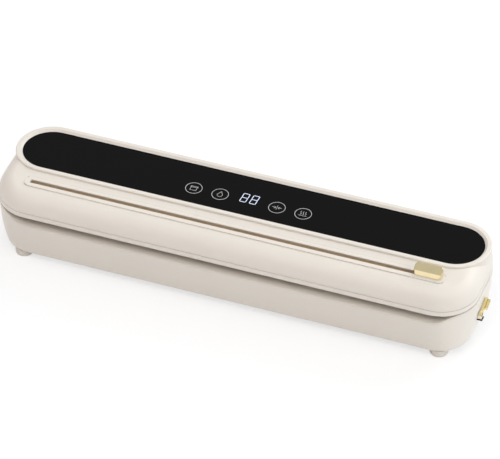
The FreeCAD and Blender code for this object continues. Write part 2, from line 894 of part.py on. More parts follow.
def lid_frame():
    frame = lid_block(0, lid_edge_z, lid_joint_z)
    frame = frame.makeFillet(band_edge_radius, level_edges(frame, lid_edge_z))
    frame = frame.cut(lid_block(wall, plate_top_z, lid_joint_z + overrun))
    frame = frame.cut(lid_block(frame_lip, lid_edge_z - overrun, plate_z))
    frame = frame.cut(groove()).fuse(lid_knuckles())
    frame = frame.cut(hinge_bores())
    frame = frame.cut(seal_ring(plate_z, plate_z + seal_seat, fit))
    frame = frame.cut(seal_bar_seat(plate_z, plate_z + press_strip_seat))
    stem_room = stem_thickness / 2 + 2 * play
    stem_half = cutter_rest_x + stem_length / 2 + stem_room + play
    frame = frame.cut(stadium_block(stem_half, stem_room, slot_y, plate_z, plate_top_z))
    for side in (-1, 1):
        frame = frame.cut([hook_slot(side, plate_z, plate_top_z), catch_bar(side, fit)])
    for x, y in lid_screw_places():
        frame = frame.cut(post(screw_radius + fit, x, y, plate_z, plate_top_z))
        frame = frame.cut(post(screw_head_radius + fit, x, y, plate_z, plate_z + screw_head_height))
    return frame.removeSplitter()


def lid_screws():
    return group([screw(x, y, plate_z) for x, y in lid_screw_places()])


# Glass panel and touch board

def control_glass():
    return stadium_block(glass_half_length, glass_radius, 0, glass_seat_z, glass_z)


def touch_board():
    top_z = seat_bottom_z + board_thickness
    return block(0, 0, 2 * board_half_length, 2 * board_half_width, seat_bottom_z, top_z)


def touch_pads():
    z0 = seat_bottom_z + board_thickness
    return group([post(pad_radius, x, pad_y, z0, glass_seat_z - pad_gap) for x in pad_x])


def display_module():
    z0 = seat_bottom_z + board_thickness
    return block(0, display_y, display_length, display_width, z0, glass_seat_z - pad_gap)


# Cutter

def rail_seat():
    """Recess for the rail's strip and opening for its channel, both cut in the lid cover."""
    half_length = strip_half_length + flush_gap
    recess = stadium_block(half_length, strip_half_width + flush_gap, slot_y, strip_bottom_z, rim_z)
    margin = channel_wall + fit
    half_width = channel_width / 2 + margin
    hole = slot_block(channel_half_length + margin, half_width, channel_bottom_z, strip_top_z)
    return [recess, hole]


def slot_block(half_length, half_width, z0, z1):
    """Block on the line of the cutter slot."""
    return block(0, slot_y, 2 * half_length, 2 * half_width, z0, z1)


def cutter_rail():
    """Strip with the slot, over a channel that carries the cutter."""
    rail = stadium_block(strip_half_length, strip_half_width, slot_y, strip_bottom_z, strip_top_z)
    rail = rail.makeFillet(strip_edge_radius, level_edges(rail, strip_top_z))
    outer = channel_width / 2 + channel_wall
    rail = rail.fuse(slot_block(channel_half_length + channel_wall, outer, channel_bottom_z, strip_bottom_z))
    lip_z = channel_bottom_z + channel_lip
    rail = rail.cut(slot_block(channel_half_length, channel_width / 2, lip_z, strip_bottom_z))
    rail = rail.cut(slot_block(channel_half_length, channel_lip_gap / 2, channel_bottom_z, lip_z))
    rail = rail.cut(slot_block(slot_half_length, slot_width / 2, strip_bottom_z, strip_top_z))
    return rail.removeSplitter()


def cutter_block(length, width, z0, z1, shift=0):
    """Block on the line of the cutter slot, where the cutter is parked."""
    return block(cutter_rest_x + shift, slot_y, length, width, z0, z1)


def cutter_carriage():
    body = cutter_block(carriage_length, channel_width - play, carriage_bottom_z, carriage_top_z)
    neck = cutter_block(neck_length, slot_width - 2 * play, carriage_bottom_z, knob_z)
    stem = cutter_block(stem_length, stem_thickness, blade_top_z - blade_hold, carriage_bottom_z)
    carriage = body.fuse([neck, stem])
    slit = cutter_block(blade_length + fit, blade_thickness + fit, plate_z, blade_top_z, blade_shift)
    hole = post(cutter_screw_radius + fit, cutter_screw_x, slot_y, carriage_bottom_z, knob_z)
    return carriage.cut([slit, hole]).removeSplitter()


def cutter_blade():
    tip_z = lid_edge_z - blade_reach
    shoulder_z = tip_z + blade_point
    x = cutter_rest_x + blade_shift
    y = slot_y - blade_thickness / 2
    half = blade_length / 2
    outline = [
        Vector(x - half, y, blade_top_z),
        Vector(x - half, y, shoulder_z),
        Vector(x, y, tip_z),
        Vector(x + half, y, shoulder_z),
        Vector(x + half, y, blade_top_z),
    ]
    return Part.Face(Part.makePolygon(outline + outline[:1])).extrude(Vector(0, blade_thickness, 0))


def cutter_screw():
    return post(cutter_screw_radius, cutter_screw_x, slot_y, carriage_bottom_z, knob_z + cutter_screw_seat)


def cutter_knob():
    """Round-cornered block with a leaning front, and a finger hollow that rises to a ridge at its back."""
    front_y = slot_y + knob_shift_y - knob_width / 2
    back_y = front_y + knob_width
    top_z = knob_z + knob_height
    x0 = cutter_rest_x - knob_length / 2
    brow = Vector(x0, front_y + knob_lean, knob_z + knob_front_height)
    ridge = Vector(x0, back_y - knob_ridge, top_z)
    rise = ridge - brow
    dip = Vector(0, rise.z, -rise.y).normalize() * knob_dish
    back = [Vector(x0, back_y, z) for z in (top_z, knob_z)]
    corners = [ridge] + back + [Vector(x0, front_y, knob_z), brow]
    edges = [Part.makeLine(*pair) for pair in zip(corners, corners[1:])]
    edges.append(Part.Arc(brow, (brow + ridge) * 0.5 + dip, ridge).toShape())
    knob = Part.Face(Part.Wire(edges)).extrude(Vector(knob_length, 0, 0))
    y = (front_y + back_y) / 2
    plan = block(cutter_rest_x, y, knob_length, knob_width, knob_z - overrun, top_z + overrun)
    upright = edges_where(plan, lambda edge: edge.BoundBox.ZLength > knob_height)
    knob = knob.common(plan.makeFillet(knob_corner_radius, upright))
    upper = edges_where(knob, lambda edge: edge.BoundBox.ZMin > knob_z + touch)
    knob = knob.makeFillet(knob_edge_radius, upper)
    seat_z = knob_z + cutter_screw_seat
    return knob.cut(post(cutter_screw_radius + fit, cutter_screw_x, slot_y, knob_z, seat_z))


# Lock

def hook_slot(side, z0, z1):
    """Opening that a hook passes through, long enough for the lock's travel."""
    front_y = shaft_y - hook_width / 2 - 2 * play
    back_y = catch_back_y + 2 * play
    return block(side * hook_x, (front_y + back_y) / 2, hook_slot_width, back_y - front_y, z0, z1)


def catch_bar(side, room):
    y = catch_y + catch_width / 2
    length = 2 * (catch_half_length + room)
    return block(side * hook_x, y, length, catch_width + 2 * room, plate_z, catch_top_z)


def lid_catches():
    return group([catch_bar(side, 0) for side in (-1, 1)])


def bearing_posts():
    """Posts under the deck that carry the lock shaft."""
    radius = shaft_radius + post_margin
    posts = []
    for side in (-1, 1):
        x = side * (post_x + post_thickness / 2)
        hanger = block(x, shaft_y, post_thickness, 2 * radius, shaft_z, deck_z - deck_thickness / 2)
        x0 = x - post_thickness / 2
        posts.append(hanger.fuse(rod(radius, x0, x0 + post_thickness, shaft_y, shaft_z)))
    return posts


def lock_shaft():
    end_x = lever_x + lever_shaft_seat
    shaft = rod(shaft_radius, -post_x - post_thickness, end_x, shaft_y, shaft_z)
    return shaft.cut(rod(lever_screw_shank + fit, end_x - lever_screw_length, end_x, shaft_y, shaft_z))


def polar(radius, degrees, x):
    """Point on a hook, by its radius from the shaft and its angle from upright towards the back."""
    angle = math.radians(degrees)
    return Vector(x, shaft_y + radius * math.sin(angle), shaft_z + radius * math.cos(angle))


def hook(side):
    x0 = side * hook_x - hook_thickness / 2
    x1 = x0 + hook_thickness
    inner = hook_radius
    outer = hook_radius + hook_head
    start = -math.degrees(math.asin(hook_width / 2 / inner))
    mid = (start + hook_nose_angle) / 2
    edges = [
        Part.Arc(polar(inner, start, x0), polar(inner, mid, x0), polar(inner, hook_nose_angle, x0)).toShape(),
        Part.makeLine(polar(inner, hook_nose_angle, x0), polar(outer, hook_nose_angle, x0)),
        Part.Arc(polar(outer, hook_nose_angle, x0), polar(outer, mid, x0), polar(outer, start, x0)).toShape(),
        Part.makeLine(polar(outer, start, x0), polar(inner, start, x0)),
    ]
    head = Part.Face(Part.Wire(edges)).extrude(Vector(hook_thickness, 0, 0))
    arm = block(side * hook_x, shaft_y, hook_thickness, hook_width, shaft_z, shaft_z + inner + hook_head / 2)
    body = head.fuse([arm, rod(hook_boss_radius, x0, x1, shaft_y, shaft_z)])
    return body.cut(rod(shaft_radius + running_fit, x0, x1, shaft_y, shaft_z)).removeSplitter()


def lock_hooks():
    return group([hook(side) for side in (-1, 1)])


def lever_arm():
    tail_y = shaft_y + lever_length
    x = lever_x + lever_thickness / 2
    z0 = shaft_z - lever_height / 2
    arm = block(x, (shaft_y + tail_y) / 2, lever_thickness, lever_length, z0, z0 + lever_height)

    def is_tip(edge):
        return abs(middle(edge).y - tail_y) < touch and edge.BoundBox.XLength > lever_thickness / 2

    return arm.makeFillet(lever_height / 2 - fit, edges_where(arm, is_tip))


def lever_tab():
    """Finger tab on the outer face, under the lever's middle line."""
    y = shaft_y + lever_length - tab_end_gap - tab_length / 2
    tab = block(lever_face_x + tab_reach / 2, y, tab_reach, tab_length, shaft_z - tab_height, shaft_z)

    def is_brow(edge):
        spot = middle(edge)
        return spot.x > lever_face_x + tab_reach - touch and spot.z > shaft_z - touch

    return tab.makeFillet(tab_edge_radius, edges_where(tab, is_brow))


def lock_lever():
    lever = rod(lever_boss_radius, lever_x, lever_face_x, shaft_y, shaft_z).fuse([lever_arm(), lever_tab()])
    lever = lever.cut([
        rod(shaft_radius + running_fit, lever_x, lever_x + lever_shaft_seat, shaft_y, shaft_z),
        rod(lever_screw_shank + fit, lever_x, lever_face_x, shaft_y, shaft_z),
        rod(lever_screw_radius + fit, lever_face_x - lever_screw_head, lever_face_x, shaft_y, shaft_z),
    ]).removeSplitter()
    lever.rotate(Vector(lever_x, shaft_y, shaft_z), Vector(1, 0, 0), lever_tilt)
    return lever


def lever_screw():
    head_x = lever_face_x - lever_screw_head
    tip_x = lever_x + lever_shaft_seat - lever_screw_length + fit
    head = rod(lever_screw_radius, head_x, lever_face_x, shaft_y, shaft_z)
    return head.fuse(rod(lever_screw_shank, tip_x, head_x, shaft_y, shaft_z))


def lever_guard():
    """Thin loop on the end wall, close under the lever's boss."""
    z1 = shaft_z - lever_boss_radius - guard_gap
    z0 = z1 - guard_thickness
    root_x = case_half_length - base_bow
    outer_x = lever_face_x + guard_reach
    y0 = shaft_y + guard_shift - guard_length / 2
    y1 = y0 + guard_length
    loop = box(root_x, outer_x, y0, y1, z0, z1)
    loop = loop.cut(box(root_x, outer_x - guard_band, y0 + guard_band, y1 - guard_band, z0, z1))
    return loop.cut(base_block(0, foot_height, rim_top_z))


# Pump and air line

def pump_motor():
    x0 = pump_x - motor_length
    can = rod(motor_radius, x0, pump_x, pump_y, motor_z)
    x = pump_x - motor_length / 2
    low_z = motor_z - motor_flat
    flats = block(x, pump_y, motor_length, 2 * motor_radius, low_z, low_z + 2 * motor_flat)
    bearing = rod(motor_end_radius, x0 - motor_end_length, x0, pump_y, motor_z)
    return can.common(flats).fuse(bearing)


def pump_head():
    z0 = pump_z - pump_height / 2
    body = block(pump_x + pump_length / 2, pump_y, pump_length, pump_width, z0, z0 + pump_height)
    long_edges = edges_where(body, lambda edge: edge.BoundBox.XLength > pump_length / 2)
    body = body.makeFillet(pump_edge_radius, long_edges)
    x0 = pump_x + pump_length
    spout = rod(spout_radius, x0, x0 + spout_length, pump_y, pump_z)
    return body.fuse(spout).cut(rod(port_bore, x0, x0 + spout_length, pump_y, pump_z))


def pump_mount():
    return block(pump_x, pump_y, mount_length, mount_width, cover_top_z, cover_top_z + mount_height)


def arc_middle(corner, first, second, tangent):
    """Middle of the arc that rounds a corner between two directions, with a given tangent length."""
    half_turn = first.getAngle(second) / 2
    offset = tangent * (1 / math.cos(half_turn) - 1) / math.tan(half_turn)
    return corner + (second - first).normalize() * offset


def air_hose():
    """Hose from the pump's spout to the port under the chamber: a slight turn, then one bend up."""
    start = Vector(pump_x + pump_length, pump_y, pump_z)
    straight = Vector(1, 0, 0)
    up = Vector(0, 0, 1)
    ease = spout_length / 2
    turn = start + straight * (spout_length + ease)
    corner = Vector(port_x, chamber_y, pump_z)
    along = (corner - turn).normalize()
    before_turn = turn - straight * ease
    after_turn = turn + along * ease
    before_bend = corner - along * hose_bend
    after_bend = corner + up * hose_bend
    path = Part.Wire([
        Part.makeLine(start, before_turn),
        Part.Arc(before_turn, arc_middle(turn, straight, along, ease), after_turn).toShape(),
        Part.makeLine(after_turn, before_bend),
        Part.Arc(before_bend, arc_middle(corner, along, up, hose_bend), after_bend).toShape(),
        Part.makeLine(after_bend, Vector(port_x, chamber_y, tray_bottom_z)),
    ])
    circles = [Part.makeCircle(radius, start, straight) for radius in (hose_radius, hose_radius - hose_wall)]
    outer, bore = [path.makePipeShell([Part.Wire(circle)], True, False) for circle in circles]
    return outer.cut(bore)


def vacuum_port():
    tail_z = tray_bottom_z - port_tail
    flange_z = chamber_floor_z - port_flange_height
    flange = post(port_flange_radius, port_x, chamber_y, flange_z, chamber_floor_z)
    tail = post(spout_radius, port_x, chamber_y, tail_z, chamber_floor_z)
    return flange.fuse(tail).cut(post(port_bore, port_x, chamber_y, tail_z, chamber_floor_z))


# Power side

def power_board_stands():
    dx = power_board_length / 2 - stand_inset
    dy = power_board_width / 2 - stand_inset
    return [(power_board_x + sx * dx, power_board_y + sy * dy) for sx in (-1, 1) for sy in (-1, 1)]


def power_board():
    z0 = board_top_z - board_thickness
    return block(power_board_x, power_board_y, power_board_length, power_board_width, z0, board_top_z)


def transformer():
    x = power_board_x + transformer_shift
    top_z = board_top_z + transformer_height
    core = block(x, power_board_y, transformer_length, core_width, board_top_z, top_z)
    low_z = board_top_z + winding_step
    winding = block(x, power_board_y, winding_length, transformer_width, low_z, top_z - winding_step)
    return core.fuse(winding)


def capacitors():
    x = power_board_x + capacitor_shift
    top_z = board_top_z + capacitor_height
    offsets = (-capacitor_pitch / 2, capacitor_pitch / 2)
    return group([post(capacitor_radius, x, power_board_y + dy, board_top_z, top_z) for dy in offsets])


def inlet_face_y():
    return case_back_y - base_inset(inlet_z)


def inlet_form(radius, y0, y1):
    """Long-holed block through the back wall, measured from the wall's face at the inlet's height."""
    low_y = inlet_face_y() + y0
    depth = y1 - y0
    ends = []
    for side in (-1, 1):
        centre = Vector(inlet_x + side * inlet_pitch / 2, low_y, inlet_z)
        ends.append(Part.makeCylinder(radius, depth, centre, Vector(0, 1, 0)))
    core = block(inlet_x, low_y + depth / 2, inlet_pitch, depth, inlet_z - radius, inlet_z + radius)
    return core.fuse(ends).removeSplitter()


def power_inlet():
    out = inlet_stand_out + inlet_flange
    body = inlet_form(inlet_radius + inlet_wall, -inlet_depth - inlet_back, out)
    flange = inlet_form(inlet_radius + inlet_wall + inlet_flange_width, inlet_stand_out, out)
    return body.fuse(flange).cut(inlet_form(inlet_radius, -inlet_depth, out)).removeSplitter()


def inlet_pins():
    pins = []
    for side in (-1, 1):
        root = Vector(inlet_x + side * inlet_pitch / 2, inlet_face_y() - inlet_depth, inlet_z)
        pins.append(Part.makeCylinder(inlet_pin_radius, inlet_pin_length, root, Vector(0, 1, 0)))
    return group(pins)


def switch_box(room):
    z0 = switch_top_z - switch_height - room
    return block(switch_x, switch_y, switch_length + 2 * room, switch_width + 2 * room, z0, switch_top_z)


def plunger(radius, z0, z1):
    return post(radius, switch_x, switch_y, z0, z1)


def lid_switch():
    bore = plunger(plunger_radius + running_fit, plunger_bottom_z - plunger_travel - play, rim_top_z)
    return switch_box(0).cut(bore)


def switch_plunger():
    return plunger(plunger_radius, plunger_bottom_z, lid_edge_z - seal_gap)


PIECES = [
    base_shell, base_deck, bag_ledge, bottom_cover, feet, bottom_screws, hinge_pins, lever_guard,
    vacuum_tray, tray_base, lower_seal, heater_bar, heating_strip, heater_tape,
    pump_motor, pump_head, pump_mount, air_hose, vacuum_port,
    power_board, transformer, capacitors, power_inlet, inlet_pins, lid_switch, switch_plunger,
    lid_cover, lid_frame, lid_screws, lid_catches, upper_seal, press_strip,
    control_glass, touch_board, touch_pads, display_module, cutter_rail,
    cutter_knob, cutter_carriage, cutter_blade, cutter_screw,
    lock_lever, lever_screw, lock_shaft, lock_hooks,
]

os.makedirs("parts", exist_ok=True)
for piece in PIECES:
    shape = piece()
    shape.translate(-origin)
    shape.exportStep("parts/" + piece.__name__ + ".step")
    print(piece.__name__, shape.isValid(), len(shape.Solids), round(shape.Volume, 1))
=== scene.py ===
import json
import math

import bmesh
import bpy
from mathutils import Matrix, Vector


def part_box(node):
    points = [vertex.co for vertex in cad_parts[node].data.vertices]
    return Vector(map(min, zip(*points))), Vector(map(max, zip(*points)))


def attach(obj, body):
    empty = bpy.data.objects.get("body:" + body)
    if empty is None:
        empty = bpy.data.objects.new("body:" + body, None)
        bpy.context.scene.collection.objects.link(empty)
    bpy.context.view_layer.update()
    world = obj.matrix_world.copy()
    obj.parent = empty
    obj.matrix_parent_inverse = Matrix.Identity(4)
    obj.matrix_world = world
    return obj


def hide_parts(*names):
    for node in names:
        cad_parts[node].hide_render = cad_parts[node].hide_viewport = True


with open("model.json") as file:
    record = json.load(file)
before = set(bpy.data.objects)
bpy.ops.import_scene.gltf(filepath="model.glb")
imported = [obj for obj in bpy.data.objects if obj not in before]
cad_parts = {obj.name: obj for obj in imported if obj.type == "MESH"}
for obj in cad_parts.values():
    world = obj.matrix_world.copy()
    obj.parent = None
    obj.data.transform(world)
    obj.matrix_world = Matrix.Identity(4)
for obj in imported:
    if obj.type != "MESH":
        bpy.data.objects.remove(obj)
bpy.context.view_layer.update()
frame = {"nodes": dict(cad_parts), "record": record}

MM = 0.001

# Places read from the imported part
glass_low, glass_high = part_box("control_glass")
panel = Vector(((glass_low.x + glass_high.x) / 2, (glass_low.y + glass_high.y) / 2, glass_high.z))


# Helpers for objects and nodes

def add_object(name, data):
    made = bpy.data.objects.new(name, data)
    bpy.context.scene.collection.objects.link(made)
    return made


def facing(direction):
    """Turn of a camera or a lamp that looks along a direction."""
    return direction.to_track_quat("-Z", "Y").to_euler()


def set_inputs(made, values):
    for name, value in values.items():
        made.inputs[name].default_value = value


def node(owner, kind, **values):
    made = owner.node_tree.nodes.new(kind)
    for name, value in values.items():
        setattr(made, name, value)
    return made


def join(owner, output, socket):
    owner.node_tree.links.new(output, socket)


def seen_directly(owner, otherwise, value):
    """A value for rays from the camera, a gloss or a glass, and another for the rest of the light."""
    path = node(owner, "ShaderNodeLightPath")
    either = path.outputs["Is Camera Ray"]
    for name in ("Is Glossy Ray", "Is Transmission Ray"):
        most = node(owner, "ShaderNodeMath", operation="MAXIMUM")
        join(owner, either, most.inputs[0])
        join(owner, path.outputs[name], most.inputs[1])
        either = most.outputs["Value"]
    choice = node(owner, "ShaderNodeMapRange")
    set_inputs(choice, {"To Min": otherwise, "To Max": value})
    join(owner, either, choice.inputs["Value"])
    return choice.outputs["Result"]


# Camera, fitted to the outline of the glass in the photograph

CAMERA_AZIMUTH = math.radians(20.534)
CAMERA_ELEVATION = math.radians(39.423)
CAMERA_DISTANCE = 2987.7 * MM
CAMERA_AIM = Vector((13.10, -36.40, 0)) * MM
CAMERA_LENS = 290.4
CAMERA_SENSOR = 36.0
CAMERA_NEAR = 0.1
CAMERA_FAR = 50.0


def make_camera():
    back = Vector((
        math.sin(CAMERA_AZIMUTH) * math.cos(CAMERA_ELEVATION),
        -math.cos(CAMERA_AZIMUTH) * math.cos(CAMERA_ELEVATION),
        math.sin(CAMERA_ELEVATION),
    ))
    data = bpy.data.cameras.new("camera")
    data.lens = CAMERA_LENS
    data.sensor_width = CAMERA_SENSOR
    data.clip_start = CAMERA_NEAR
    data.clip_end = CAMERA_FAR
    camera = add_object("camera", data)
    camera.location = panel + CAMERA_AIM + back * CAMERA_DISTANCE
    camera.rotation_euler = facing(-back)
    bpy.context.scene.camera = camera


# Studio in metres: white floor, dim sky, and large soft lamps

SKY_STRENGTH = 0.1
SKY_IN_GLOSS = 0.6
FLOOR_HALF = 12.0
FLOOR_SHADE = 0.95
FLOOR_ROUGHNESS = 0.9
FLOOR_GLOW = 0.65
COOL = (0.95, 0.98, 1.0)
WARM = (1.0, 0.93, 0.9)
LAMP_AIM = Vector((0, 0, 0.03))
# Place, watts, size and tint of each lamp, and whether gloss shows it
LAMPS = {
    "top": ((-0.3, 0.5, 2.5), 21, 3.0, COOL, False),
    "front": ((0.0, -1.5, 2.6), 36, 1.8, WARM, False),
    "right": ((2.6, -0.4, 1.4), 46, 2.6, COOL, False),
    "left": ((-2.4, -0.9, 1.5), 18, 2.6, WARM, False),
    "back": ((1.1, 2.2, 1.8), 42, 2.4, COOL, True),
}


def make_sky():
    world = bpy.data.worlds.new("studio")
    bpy.context.scene.world = world
    world.use_nodes = True
    sky = world.node_tree.nodes["Background"]
    set_inputs(sky, {"Color": (1, 1, 1, 1)})
    join(world, seen_directly(world, SKY_STRENGTH, SKY_IN_GLOSS), sky.inputs["Strength"])


def make_lamp(name, place, watts, size, shade, in_gloss):
    data = bpy.data.lights.new(name, "AREA")
    data.shape = "DISK"
    data.size = size
    data.color = shade
    data.energy = watts
    lamp = add_object(name, data)
    lamp.location = place
    lamp.visible_glossy = in_gloss
    lamp.rotation_euler = facing(LAMP_AIM - Vector(place))


def floor_material():
    """White floor that is partly its own backdrop, so that the shadow on it stays soft."""
    material, bsdf = new_material("floor")
    set_inputs(bsdf, {
        "Base Color": (FLOOR_SHADE, FLOOR_SHADE, FLOOR_SHADE, 1),
        "Roughness": FLOOR_ROUGHNESS,
        "Specular IOR Level": 0.0,
    })
    backdrop = node(material, "ShaderNodeEmission")
    mixed = node(material, "ShaderNodeMixShader")
    join(material, seen_directly(material, 0.0, FLOOR_GLOW), mixed.inputs["Fac"])
    join(material, bsdf.outputs["BSDF"], mixed.inputs[1])
    join(material, backdrop.outputs["Emission"], mixed.inputs[2])
    join(material, mixed.outputs["Shader"], material.node_tree.nodes["Material Output"].inputs["Surface"])
    return material


def make_floor():
    mesh = bpy.data.meshes.new("floor")
    corners = [(x * FLOOR_HALF, y * FLOOR_HALF, 0) for x, y in ((-1, -1), (1, -1), (1, 1), (-1, 1))]
    mesh.from_pydata(corners, [], [(0, 1, 2, 3)])
    mesh.materials.append(floor_material())
    floor = add_object("floor", mesh)


def make_studio():
    bpy.context.scene.view_settings.view_transform = "Standard"
    make_sky()
    for name, values in LAMPS.items():
        make_lamp(name, *values)
    make_floor()


# Helpers for materials

# Share of a noise's values that a range of numbers or a pair of colours is spread over
SPREAD_FROM = (0.3, 0.7)
TINT_FROM = (0.35, 0.65)


def linear(value):
    """Linear light of a level on screen, by the sRGB curve."""
    value /= 255
    return value / 12.92 if value <= 0.04045 else ((value + 0.055) / 1.055) ** 2.4


def colour(red, green, blue):
    """Linear colour of a shade given as it looks on screen."""
    return (linear(red), linear(green), linear(blue), 1.0)


def darker(shade, share):
    return tuple(channel * share for channel in shade[:3]) + (1.0,)


def new_material(name):
    material = bpy.data.materials.new(name)
    material.use_nodes = True
    return material, material.node_tree.nodes["Principled BSDF"]


def object_place(material):
    return node(material, "ShaderNodeTexCoord").outputs["Object"]


def noise(material, scale, detail=3.0, place=None):
    made = node(material, "ShaderNodeTexNoise")
    set_inputs(made, {"Scale": scale, "Detail": detail})
    join(material, place or object_place(material), made.inputs["Vector"])
    return made.outputs["Fac"]


def haze(material, bsdf, pattern, low, high):
    """Spreads the roughness over a range by a pattern."""
    made = node(material, "ShaderNodeMapRange")
    set_inputs(made, {"From Min": SPREAD_FROM[0], "From Max": SPREAD_FROM[1], "To Min": low, "To Max": high})
    join(material, pattern, made.inputs["Value"])
    join(material, made.outputs["Result"], bsdf.inputs["Roughness"])


def mottle(material, bsdf, pattern, shade, share):
    """Colours a surface from a darker share of a shade to the shade itself, by a pattern."""
    ramp = node(material, "ShaderNodeValToRGB")
    for stop, place, tint in zip(ramp.color_ramp.elements, TINT_FROM, (darker(shade, share), shade)):
        stop.position = place
        stop.color = tint
    join(material, pattern, ramp.inputs["Fac"])
    join(material, ramp.outputs["Color"], bsdf.inputs["Base Color"])


def bump(material, bsdf, pattern, strength, depth):
    made = node(material, "ShaderNodeBump")
    set_inputs(made, {"Strength": strength, "Distance": depth})
    join(material, pattern, made.inputs["Height"])
    join(material, made.outputs["Normal"], bsdf.inputs["Normal"])


# Materials

CREAM = colour(223, 217, 208)
CASE_ROUGHNESS = 0.42
GLASS_SHADE = (0.0042, 0.004, 0.004, 1)
# The cutter rail turns from the cream to this painted shade between these depths: darker and warmer down in
# the channel, where shade and warm bounce light fall
CHANNEL_PAINTED_SHADE = colour(216, 196, 168)
CHANNEL_START = 0.8 * MM
CHANNEL_FULL = 1.6 * MM


def moulded(name, shade, roughness, grain=1400, depth=0.02 * MM):
    """Moulded plastic: a fine grain, a little cloudiness in colour and gloss."""
    material, bsdf = new_material(name)
    mottle(material, bsdf, noise(material, scale=18), shade, share=0.985)
    haze(material, bsdf, noise(material, scale=60), low=roughness - 0.03, high=roughness + 0.03)
    bump(material, bsdf, noise(material, scale=grain, detail=2.0), strength=0.25, depth=depth)
    return material


def rail_moulding():
    """Plastic of the cutter rail, with a painted shade: darker and warmer down in the channel, where shade
    and warm bounce light fall.
    """
    material = moulded("rail_plastic", CREAM, CASE_ROUGHNESS)
    bsdf = material.node_tree.nodes["Principled BSDF"]
    place = node(material, "ShaderNodeSeparateXYZ")
    join(material, object_place(material), place.inputs["Vector"])
    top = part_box("cutter_rail")[1].z
    ramp = node(material, "ShaderNodeMapRange")
    set_inputs(ramp, {"From Min": top - CHANNEL_FULL, "From Max": top - CHANNEL_START})
    join(material, place.outputs["Z"], ramp.inputs["Value"])
    # Painted shade, mixed in by depth from the cream at the top to the channel shade lower down
    mixed = node(material, "ShaderNodeMixRGB")
    join(material, ramp.outputs["Result"], mixed.inputs["Fac"])
    set_inputs(mixed, {"Color1": CHANNEL_PAINTED_SHADE})
    join(material, bsdf.inputs["Base Color"].links[0].from_socket, mixed.inputs["Color2"])
    join(material, mixed.outputs["Color"], bsdf.inputs["Base Color"])
    return material


def black_glass():
    """Black panel: polished, with the faintest smear in its gloss."""
    material, bsdf = new_material("panel_glass")
    set_inputs(bsdf, {"Base Color": GLASS_SHADE, "Specular IOR Level": 0.06})
    haze(material, bsdf, noise(material, scale=25), low=0.08, high=0.13)
    return material


def gold_plating(name, shade):
    """Pale gold plating, with a fine haze in its gloss."""
    material, bsdf = new_material(name)
    set_inputs(bsdf, {"Metallic": 1.0})
    mottle(material, bsdf, noise(material, scale=120), shade, share=0.97)
    haze(material, bsdf, noise(material, scale=900), low=0.11, high=0.16)
    bump(material, bsdf, noise(material, scale=6000, detail=2.0), strength=0.04, depth=0.004 * MM)
    return material


def rubber(name, shade):
    """Dull rubber or foam with a fine grain."""
    material, bsdf = new_material(name)
    mottle(material, bsdf, noise(material, scale=300), shade, share=0.9)
    haze(material, bsdf, noise(material, scale=200), low=0.7, high=0.85)
    bump(material, bsdf, noise(material, scale=1800), strength=0.35, depth=0.05 * MM)
    return material


def metal(name, shade, roughness):
    """Ground metal: fine scratches along the case."""
    material, bsdf = new_material(name)
    set_inputs(bsdf, {"Metallic": 1.0})
    stretch = node(material, "ShaderNodeMapping")
    set_inputs(stretch, {"Scale": (40, 1500, 1500)})
    join(material, object_place(material), stretch.inputs["Vector"])
    scratches = noise(material, scale=1.0, detail=2.0, place=stretch.outputs["Vector"])
    mottle(material, bsdf, scratches, shade, share=0.9)
    haze(material, bsdf, scratches, low=roughness - 0.05, high=roughness + 0.05)
    bump(material, bsdf, scratches, strength=0.15, depth=0.02 * MM)
    return material


def woven_tape(name, shade, roughness):
    """Slick woven tape over the heating strip."""
    material, bsdf = new_material(name)
    set_inputs(bsdf, {"Roughness": roughness})
    weave = node(material, "ShaderNodeMath", operation="MULTIPLY")
    for direction, socket in zip(("X", "Y"), weave.inputs):
        wave = node(material, "ShaderNodeTexWave", bands_direction=direction)
        set_inputs(wave, {"Scale": 400})
        join(material, object_place(material), wave.inputs["Vector"])
        join(material, wave.outputs["Fac"], socket)
    mottle(material, bsdf, weave.outputs["Value"], shade, share=0.7)
    bump(material, bsdf, weave.outputs["Value"], strength=0.4, depth=0.05 * MM)
    return material


def lit_print(name, shade, glow):
    """Printed marks that glow a little."""
    material, bsdf = new_material(name)
    set_inputs(bsdf, {
        "Base Color": shade,
        "Roughness": 0.5,
        "Emission Color": shade,
        "Emission Strength": glow,
    })
    return material


materials = {
    "case_plastic": moulded("case_plastic", CREAM, CASE_ROUGHNESS),
    "rail_plastic": rail_moulding(),
    "cover_plastic": moulded("cover_plastic", darker(CREAM, 0.86), 0.5, grain=900, depth=0.05 * MM),
    "panel_glass": black_glass(),
    "gold": gold_plating("gold", colour(244, 228, 184)),
    # Painted shade: a deeper, darker copy of the gold, used for the lock lever only
    "shaded_lever_gold": gold_plating("shaded_lever_gold", colour(241, 225, 168)),
    "foot_rubber": rubber("foot_rubber", darker(CREAM, 0.95)),
    "seal_foam": rubber("seal_foam", colour(58, 58, 62)),
    "press_rubber": rubber("press_rubber", colour(168, 96, 80)),
    "heat_resin": moulded("heat_resin", colour(52, 48, 46), 0.55),
    "heater_metal": metal("heater_metal", colour(200, 196, 190), 0.3),
    "heater_tape": woven_tape("heater_tape", colour(166, 120, 74), 0.42),
    "steel": metal("steel", colour(205, 205, 206), 0.28),
    "dark_steel": metal("dark_steel", colour(60, 56, 50), 0.35),
    "inner_plastic": moulded("inner_plastic", colour(60, 60, 62), 0.5),
    "soft_rubber": rubber("soft_rubber", colour(52, 52, 52)),
    "guard_rubber": rubber("guard_rubber", colour(14, 13, 12)),
    "tray_plastic": moulded("tray_plastic", darker(CREAM, 0.8), CASE_ROUGHNESS),
    "circuit_board": moulded("circuit_board", colour(38, 104, 62), 0.35),
    "component": moulded("component", colour(52, 58, 74), 0.4),
    "display": moulded("display", colour(26, 26, 28), 0.25),
    "print": lit_print("print", colour(186, 184, 184), 0.26),
    "digits": lit_print("digits", colour(200, 208, 228), 0.55),
}
# Nodes that look a little different from the rest of their slot: the lock lever gets a deeper, darker copy of
# the gold, a painted shade for how the light falls on it
OWN_MATERIALS = {"lock_lever": "shaded_lever_gold"}


